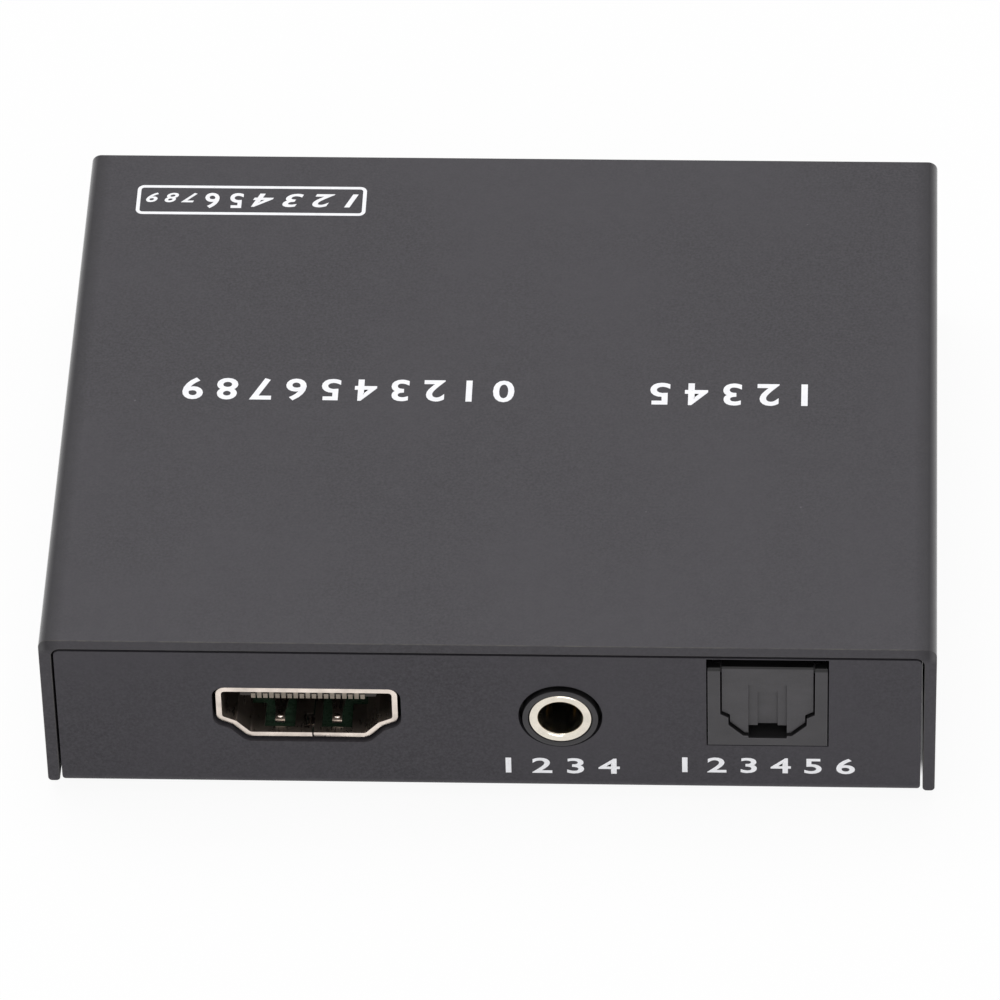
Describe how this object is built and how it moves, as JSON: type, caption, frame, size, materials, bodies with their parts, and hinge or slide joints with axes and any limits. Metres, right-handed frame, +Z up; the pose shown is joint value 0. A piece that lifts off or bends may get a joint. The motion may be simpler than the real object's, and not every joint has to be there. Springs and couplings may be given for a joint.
{
  "type": "hdmi audio extractor",
  "caption": "Small black folded-steel converter box with video sockets, a headphone jack, a shuttered optical socket, a power jack and a sliding mode switch.",
  "frame": {"origin": "centre of the case's footprint, on the surface that the feet stand on", "axes": "+X along the front panel to the right, +Y from the front panel (output sockets) to the rear panel, +Z up"},
  "size_m": [0.0732, 0.0624, 0.0172],
  "materials": {
    "cover_paint": "black fine-grained powder coat",
    "tray_paint": "black fine-grained powder coat",
    "black_screw": "black oxide",
    "plated_steel": "zinc plated",
    "foot_rubber": "matte",
    "board_green": "solder mask",
    "shell_nickel": "nickel plated",
    "bush_nickel": "polished nickel",
    "insulator": "moulded",
    "contact_gold": "gold flashed",
    "jack_plastic": "moulded",
    "optical_plastic": "moulded",
    "shutter_plastic": "moulded",
    "spring_steel": "drawn wire",
    "emitter_resin": "dark resin",
    "switch_black": "moulded",
    "lamp_red": "tinted resin",
    "chip_black": "moulded resin",
    "pad_grey": "soft",
    "sink_aluminium": "extruded",
    "tin_legs": "tinned",
    "ferrite": "sintered",
    "can_aluminium": "drawn",
    "ceramic_tan": "fired",
    "resistor_black": "glazed"
  },
  "bodies": {
    "case": {"top_cover": "cover_paint", "base_tray": "tray_paint", "cover_screws": "black_screw", "board_standoffs": "plated_steel", "board_screws": "plated_steel", "rubber_feet": "foot_rubber", "circuit_board": "board_green", "hdmi_out_shell": "shell_nickel", "hdmi_out_insulator": "insulator", "hdmi_out_contacts": "contact_gold", "hdmi_in_shell": "shell_nickel", "hdmi_in_insulator": "insulator", "hdmi_in_contacts": "contact_gold", "audio_jack_body": "jack_plastic", "audio_jack_bush": "bush_nickel", "audio_jack_contacts": "contact_gold", "optical_housing": "optical_plastic", "optical_emitter": "emitter_resin", "optical_leads": "tin_legs", "power_jack_body": "jack_plastic", "power_jack_pin": "bush_nickel", "power_jack_contact": "contact_gold", "mode_switch_frame": "plated_steel", "mode_switch_base": "switch_black", "mode_switch_terminals": "contact_gold", "status_lamp": "lamp_red", "status_lamp_leads": "tin_legs", "video_chip": "chip_black", "thermal_pad": "pad_grey", "heatsink": "sink_aluminium", "audio_chip": "chip_black", "control_chip": "chip_black", "chip_legs": "tin_legs", "voltage_regulator": "chip_black", "power_inductor": "ferrite", "crystal_can": "plated_steel", "capacitor_cans": "can_aluminium", "capacitor_bases": "switch_black", "ceramic_capacitors": "ceramic_tan", "chip_resistors": "resistor_black"},
    "shutter": {"optical_shutter": "shutter_plastic", "shutter_spring": "spring_steel"},
    "mode_knob": {"mode_switch_knob": "switch_black", "mode_switch_wiper": "contact_gold"}
  },
  "joints": [
    {"name": "shutter_hinge", "type": "hinge", "parent": "case", "child": "shutter", "pos_m": [0.02285, -0.02945, 0.01408], "axis": [1, 0, 0], "range_deg": [0, 85], "stiffness_Nm_per_rad": 0.00005, "springref_deg": -20.05},
    {"name": "switch_slide", "type": "slide", "parent": "case", "child": "mode_knob", "axis": [1, 0, 0], "range_m": [-0.002, 0.002]}
  ]
}
